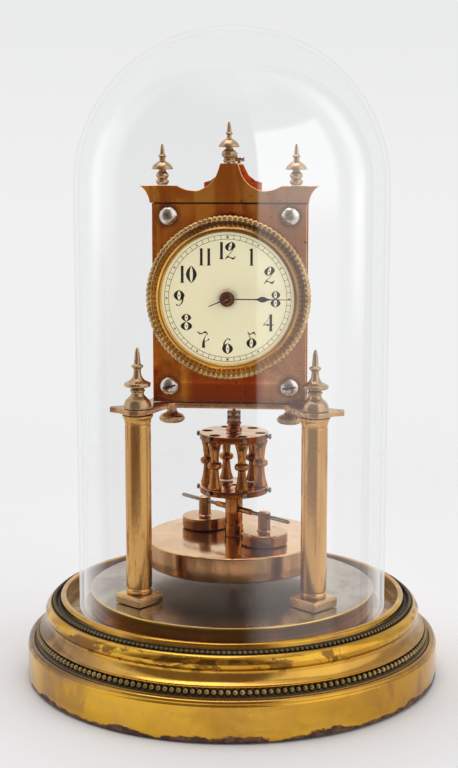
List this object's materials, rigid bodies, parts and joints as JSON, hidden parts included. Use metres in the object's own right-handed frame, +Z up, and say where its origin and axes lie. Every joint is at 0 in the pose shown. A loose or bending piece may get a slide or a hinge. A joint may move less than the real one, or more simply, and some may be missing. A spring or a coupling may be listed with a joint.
{
  "type": "torsion pendulum clock",
  "caption": "Anniversary clock: a torsion pendulum disc under a plate movement on two columns and a round stepped brass base, covered by a glass dome.",
  "frame": {"origin": "centre of the round base, on the surface it stands on", "axes": "+Z up along the base axis, -Y towards the reader of the dial, +X to the reader's right"},
  "size_m": [0.208, 0.208, 0.323],
  "materials": {
    "base_brass": "polished spun brass with age patina",
    "base_wood": "dark stained underside",
    "silvered_plate": "satin silvered brass",
    "lacquered_brass": "reddish lacquered polished brass",
    "column_brass": "pale satin brass",
    "gear_brass": "bright machined brass",
    "steel": "polished steel",
    "blued_steel": "blue-black steel",
    "bezel_brass": "cast and polished brass with a rope border",
    "dial_enamel": "cream vitreous enamel",
    "dome_glass": "clear blown glass",
    "pendulum_brass": "polished rose-gold brass"
  },
  "bodies": {
    "frame": {"back_plate": "lacquered_brass", "base_bottom": "base_wood", "base_plate": "silvered_plate", "base_shell": "base_brass", "column_finial_left": "column_brass", "column_finial_right": "column_brass", "column_foot_left": "column_brass", "column_foot_right": "column_brass", "column_left": "column_brass", "column_right": "column_brass", "dial_bezel": "bezel_brass", "dial_plate": "dial_enamel", "finial_centre": "column_brass", "finial_left": "column_brass", "finial_right": "column_brass", "front_plate": "lacquered_brass", "movement_pillar_high_left": "gear_brass", "movement_pillar_high_right": "gear_brass", "movement_pillar_low_left": "gear_brass", "movement_pillar_low_right": "gear_brass", "movement_platform": "column_brass", "pediment": "lacquered_brass", "plate_screw_high_left": "steel", "plate_screw_high_right": "steel", "plate_screw_low_left": "steel", "plate_screw_low_right": "steel", "suspension_saddle": "column_brass"},
    "dome": {"glass_dome": "dome_glass"},
    "minute_arbor": {"centre_wheel": "gear_brass", "cannon_pinion": "gear_brass", "minute_hand": "blued_steel"},
    "hour_arbor": {"hour_wheel": "gear_brass", "hour_hand": "blued_steel"},
    "minute_wheel_arbor": {"minute_wheel": "gear_brass"},
    "third_arbor": {"third_wheel": "gear_brass"},
    "second_arbor": {"second_wheel": "gear_brass"},
    "barrel_arbor": {"barrel": "gear_brass", "mainspring": "steel"},
    "escape_arbor": {"escape_wheel": "gear_brass"},
    "winder": {"winding_arbor": "steel"},
    "click_lever": {"click": "steel"},
    "anchor_arbor": {"anchor": "steel"},
    "fork": {"suspension_fork": "pendulum_brass"},
    "pendulum": {"suspension_spring": "steel", "pendulum_hook": "lacquered_brass", "gallery_upper_ring": "pendulum_brass", "gallery_lower_ring": "pendulum_brass", "pendulum_post": "pendulum_brass", "pendulum_disc": "pendulum_brass", "baluster_1": "pendulum_brass", "baluster_2": "pendulum_brass", "baluster_3": "pendulum_brass", "baluster_4": "pendulum_brass", "baluster_5": "pendulum_brass", "baluster_6": "pendulum_brass"},
    "rating_rod": {"rate_rod": "steel"},
    "left_weight": {"weight_left": "pendulum_brass"},
    "right_weight": {"weight_right": "pendulum_brass"},
    "left_thumb_nut": {"thumb_nut_left": "column_brass"},
    "right_thumb_nut": {"thumb_nut_right": "column_brass"}
  },
  "joints": [
    {"name": "dome_lift", "type": "slide", "parent": "frame", "child": "dome", "axis": [0, 0, 1], "range_m": [0, 0.3]},
    {"name": "minute_hand_turn", "type": "hinge", "parent": "frame", "child": "minute_arbor", "pos_m": [0, 0, 0.1933], "axis": [0, 1, 0], "continuous": true},
    {"name": "hour_hand_turn", "type": "hinge", "parent": "frame", "child": "hour_arbor", "pos_m": [0, 0, 0.1933], "axis": [0, 1, 0], "continuous": true},
    {"name": "minute_wheel_turn", "type": "hinge", "parent": "frame", "child": "minute_wheel_arbor", "pos_m": [0.006, 0, 0.18291], "axis": [0, 1, 0], "continuous": true},
    {"name": "third_wheel_turn", "type": "hinge", "parent": "frame", "child": "third_arbor", "pos_m": [0.01364, 0, 0.18677], "axis": [0, 1, 0], "continuous": true},
    {"name": "second_wheel_turn", "type": "hinge", "parent": "frame", "child": "second_arbor", "pos_m": [0.01567, 0, 0.16907], "axis": [0, 1, 0], "continuous": true},
    {"name": "barrel_turn", "type": "hinge", "parent": "frame", "child": "barrel_arbor", "pos_m": [-0.008, 0, 0.167], "axis": [0, 1, 0], "continuous": true},
    {"name": "escape_wheel_turn", "type": "hinge", "parent": "frame", "child": "escape_arbor", "pos_m": [0, 0, 0.20815], "axis": [0, 1, 0], "continuous": true},
    {"name": "winding_turn", "type": "hinge", "parent": "frame", "child": "winder", "pos_m": [-0.008, 0, 0.167], "axis": [0, 1, 0], "continuous": true},
    {"name": "click_lift", "type": "hinge", "parent": "frame", "child": "click_lever", "pos_m": [0.0044, 0, 0.1734], "axis": [0, 1, 0], "range_deg": [0, 12], "stiffness_Nm_per_rad": 0.0005, "springref_deg": -11.46},
    {"name": "pendulum_twist", "type": "hinge", "parent": "frame", "child": "pendulum", "pos_m": [0, 0.0125, 0.1], "axis": [0, 0, 1], "range_deg": [-135, 135], "stiffness_Nm_per_rad": 0.00015, "deforming": ["suspension_spring"]},
    {"name": "fork_twist", "type": "hinge", "parent": "frame", "child": "fork", "pos_m": [0, 0.0125, 0.24], "axis": [0, 0, 1], "range_deg": [-19, 19]},
    {"name": "anchor_rock", "type": "hinge", "parent": "frame", "child": "anchor_arbor", "pos_m": [0, 0, 0.2245], "axis": [0, 1, 0], "range_deg": [-4.6, 4.6]},
    {"name": "rating_rod_turn", "type": "hinge", "parent": "pendulum", "child": "rating_rod", "pos_m": [0, 0.0125, 0.0808], "axis": [0.7314, -0.682, 0], "range_deg": [-2592, 2952]},
    {"name": "left_weight_shift", "type": "slide", "parent": "pendulum", "child": "left_weight", "axis": [-0.7314, 0.682, 0], "range_m": [-0.005, 0.0057]},
    {"name": "right_weight_shift", "type": "slide", "parent": "pendulum", "child": "right_weight", "axis": [0.7314, -0.682, 0], "range_m": [-0.005, 0.0057]},
    {"name": "left_thumb_nut_turn", "type": "hinge", "parent": "frame", "child": "left_thumb_nut", "pos_m": [-0.0294, -0.0078, 0.131], "axis": [0, 0, 1], "continuous": true},
    {"name": "right_thumb_nut_turn", "type": "hinge", "parent": "frame", "child": "right_thumb_nut", "pos_m": [0.0294, -0.0078, 0.131], "axis": [0, 0, 1], "continuous": true}
  ],
  "couplings": [
    {"joint": "hour_hand_turn", "follows": "minute_hand_turn", "ratio": 0.083333},
    {"joint": "minute_wheel_turn", "follows": "minute_hand_turn", "ratio": -0.33333},
    {"joint": "third_wheel_turn", "follows": "minute_hand_turn", "ratio": -0.125},
    {"joint": "second_wheel_turn", "follows": "minute_hand_turn", "ratio": 0.015625},
    {"joint": "barrel_turn", "follows": "minute_hand_turn", "ratio": -0.0015625},
    {"joint": "escape_wheel_turn", "follows": "minute_hand_turn", "ratio": -10},
    {"joint": "fork_twist", "follows": "pendulum_twist", "ratio": 0.14},
    {"joint": "anchor_rock", "follows": "pendulum_twist", "ratio": 0.0335},
    {"joint": "rating_rod_turn", "follows": "left_weight_shift", "rad_per_m": 8976},
    {"joint": "right_weight_shift", "follows": "left_weight_shift", "ratio": 1}
  ]
}
